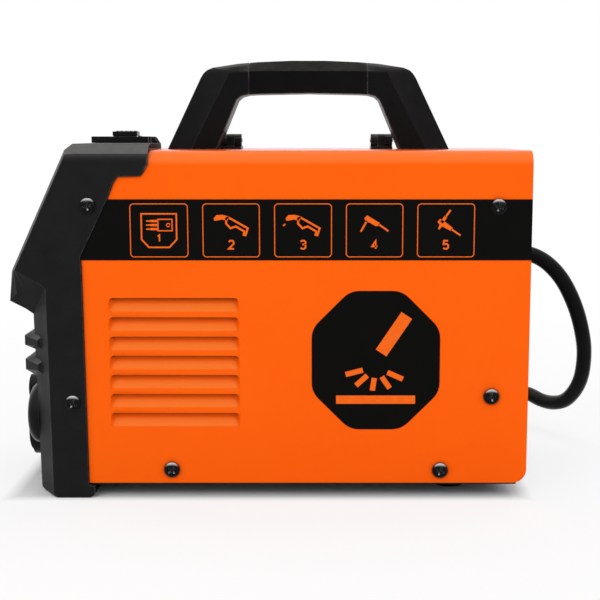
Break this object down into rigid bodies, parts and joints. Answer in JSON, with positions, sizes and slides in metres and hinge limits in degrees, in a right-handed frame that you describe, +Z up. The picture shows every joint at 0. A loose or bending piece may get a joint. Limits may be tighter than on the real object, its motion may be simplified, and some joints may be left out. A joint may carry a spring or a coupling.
{
  "type": "welding machine",
  "caption": "Compact inverter wire-feed welder with a sloped control front, folded sheet case, top handle, side door, louvres and a mains cable with plug.",
  "frame": {"origin": "floor level under the middle of the machine without its cable", "axes": "+X to the rear panel, +Y to the wire-feed door, +Z up"},
  "size_m": [0.4238, 0.3637, 0.2893],
  "materials": {
    "bezel_plastic": "moulded, fine texture",
    "orange_paint": "powder coat",
    "stripe_black": "printed band",
    "gloss_black": "smooth",
    "display_red": "tinted window",
    "lamp_green": "clear lens",
    "button_grey": "moulded",
    "board_green": "solder mask",
    "black_plastic": "moulded",
    "brass": "turned",
    "zinc_steel": "zinc plated",
    "black_steel": "powder coat",
    "grip_rubber": "soft, fine grain",
    "screw_black": "blackened",
    "red_plastic": "moulded",
    "copper_wire": "copper coated",
    "motor_grey": "paint",
    "cast_grey": "die cast",
    "aluminium": "extruded",
    "capacitor_blue": "sleeve",
    "ferrite": "sintered",
    "copper_coil": "enamelled",
    "cable_rubber": "sheathed cable"
  },
  "bodies": {
    "case": {"front_bezel": "bezel_plastic", "control_facia": "gloss_black", "display_window": "display_red", "status_lamps": "lamp_green", "control_board": "board_green", "connector_panel": "black_plastic", "torch_connector": "brass", "torch_insulator": "black_plastic", "socket_bodies": "black_plastic", "socket_cores": "brass", "front_frame": "zinc_steel", "main_cover": "orange_paint", "side_stripe": "stripe_black", "base_tray": "black_steel", "rear_feet": "grip_rubber", "rear_panel": "black_steel", "bulkhead": "zinc_steel", "fixed_hinge_leaves": "black_steel", "hinge_pins": "zinc_steel", "latch_base": "gloss_black", "carry_handle": "bezel_plastic", "handle_grip": "grip_rubber", "handle_bolts": "zinc_steel", "case_screws": "screw_black", "switch_frame": "black_plastic", "gas_inlet": "brass", "gas_valve": "brass", "fan_frame": "black_plastic", "fan_guard": "zinc_steel", "spool_shaft": "black_plastic", "spool_nut": "black_plastic", "feeder_plate": "cast_grey", "drive_motor": "motor_grey", "inlet_guide": "brass", "outlet_guide": "brass", "main_board": "board_green", "heatsinks": "aluminium", "capacitors": "capacitor_blue", "main_transformer": "ferrite", "output_choke": "copper_coil", "cable_gland": "black_plastic", "mains_cable": "cable_rubber", "cable_coil": "cable_rubber", "mains_plug": "cable_rubber"},
    "knob_current": {"current_knob": "black_plastic"},
    "knob_wire_speed": {"wire_speed_knob": "black_plastic"},
    "button_mode": {"mode_button": "button_grey"},
    "button_trigger": {"trigger_button": "button_grey"},
    "door": {"side_door": "orange_paint", "door_hinge_leaves": "black_steel"},
    "latch": {"latch_slider": "gloss_black"},
    "rocker": {"mains_rocker": "red_plastic"},
    "fan": {"fan_rotor": "black_plastic"},
    "spool": {"spool_hub": "black_plastic", "wire_spool": "black_plastic", "welding_wire": "copper_wire"},
    "roll_drive": {"drive_roll": "zinc_steel"},
    "arm_pressure": {"pressure_arm": "cast_grey"},
    "roll_pressure": {"pressure_roll": "zinc_steel"},
    "lever_tension": {"tension_lever": "black_plastic"}
  },
  "joints": [
    {"name": "door_hinge", "type": "hinge", "parent": "case", "child": "door", "pos_m": [0.0239, 0.022, 0.2351], "axis": [1, 0, 0], "range_deg": [0, 100]},
    {"name": "latch_slide", "type": "slide", "parent": "case", "child": "latch", "axis": [1, 0, 0], "range_m": [0, 0.009]},
    {"name": "current_turn", "type": "hinge", "parent": "case", "child": "knob_current", "pos_m": [-0.14726, 0.033, 0.20294], "axis": [-0.9062, 0, 0.4228], "range_deg": [-140, 140]},
    {"name": "wire_speed_turn", "type": "hinge", "parent": "case", "child": "knob_wire_speed", "pos_m": [-0.16163, 0.033, 0.17213], "axis": [-0.9062, 0, 0.4228], "range_deg": [-140, 140]},
    {"name": "mode_press", "type": "slide", "parent": "case", "child": "button_mode", "axis": [0.9062, 0, -0.4228], "range_m": [0, 0.0015], "stiffness_N_per_m": 400},
    {"name": "trigger_press", "type": "slide", "parent": "case", "child": "button_trigger", "axis": [0.9062, 0, -0.4228], "range_m": [0, 0.0015], "stiffness_N_per_m": 400},
    {"name": "mains_switch", "type": "hinge", "parent": "case", "child": "rocker", "pos_m": [0.1573, -0.034, 0.178], "axis": [0, -1, 0], "range_deg": [0, 16]},
    {"name": "fan_spin", "type": "hinge", "parent": "case", "child": "fan", "pos_m": [0.1491, -0.03, 0.072], "axis": [1, 0, 0], "continuous": true},
    {"name": "spool_spin", "type": "hinge", "parent": "case", "child": "spool", "pos_m": [0.0689, 0.04, 0.12], "axis": [0, 1, 0], "continuous": true},
    {"name": "drive_roll_spin", "type": "hinge", "parent": "case", "child": "roll_drive", "pos_m": [-0.0461, 0.033, 0.037], "axis": [0, 1, 0], "continuous": true},
    {"name": "pressure_roll_spin", "type": "hinge", "parent": "arm_pressure", "child": "roll_pressure", "pos_m": [-0.0461, 0.033, 0.0636], "axis": [0, 1, 0], "continuous": true},
    {"name": "tension_release", "type": "hinge", "parent": "case", "child": "lever_tension", "pos_m": [-0.0691, 0.042, 0.042], "axis": [0, -1, 0], "range_deg": [0, 45]},
    {"name": "pressure_lift", "type": "hinge", "parent": "case", "child": "arm_pressure", "pos_m": [-0.0221, 0.033, 0.066], "axis": [0, 1, 0], "range_deg": [0, 21]}
  ],
  "couplings": [
    {"joint": "pressure_lift", "follows": "tension_release", "ratio": 0.45}
  ]
}
